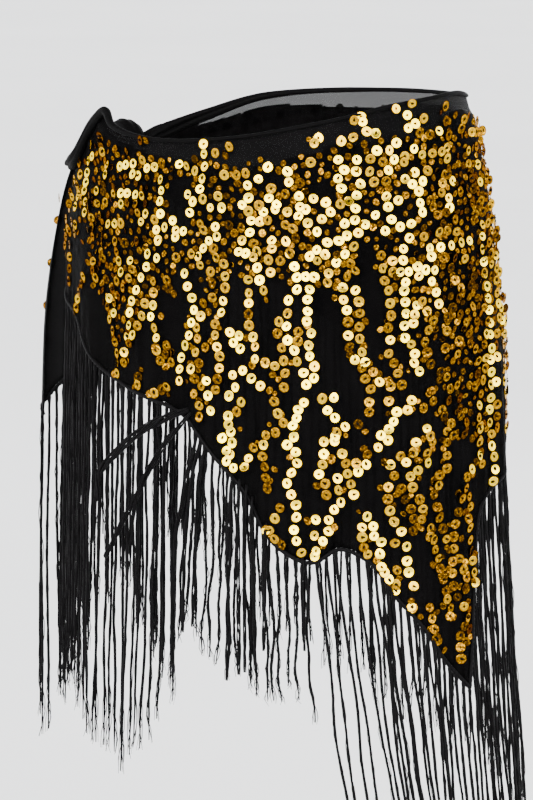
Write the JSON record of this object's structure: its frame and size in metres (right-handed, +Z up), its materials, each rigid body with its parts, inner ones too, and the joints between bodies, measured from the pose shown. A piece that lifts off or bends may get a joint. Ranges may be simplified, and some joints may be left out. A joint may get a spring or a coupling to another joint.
{
  "type": "fringed hip scarf tied round the hips",
  "caption": "Sheer black three-cornered scarf worn round the hips, tied at one side, with gold sequins and a long fringe on its lower edges.",
  "frame": {"origin": "centre of the waist ring, level with the upper edge at the sides, where the hips hold the scarf", "axes": "+X to the wearer's left, -Y to the wearer's front, +Z up"},
  "size_m": [0.4161, 0.2767, 0.6948],
  "materials": {
    "mesh_cloth": "sheer black mesh, fine open weave with a soft sheen",
    "rolled_cloth": "the same mesh rolled and gathered, nearly opaque black",
    "fringe_thread": "twisted black thread with a light sheen",
    "sequin_gold": "thin cupped discs of gold metallised plastic, bright and reflective"
  },
  "bodies": {
    "root": {"wrap": "mesh_cloth", "waist_roll": "rolled_cloth", "knot_bundle": "rolled_cloth", "knot_loop": "rolled_cloth", "tail_front": "mesh_cloth", "tail_back": "mesh_cloth", "fringe_front": "fringe_thread", "fringe_point": "fringe_thread", "fringe_side": "fringe_thread", "fringe_back": "fringe_thread", "fringe_tail_front": "fringe_thread", "fringe_tail_back": "fringe_thread"}
  },
  "joints": []
}
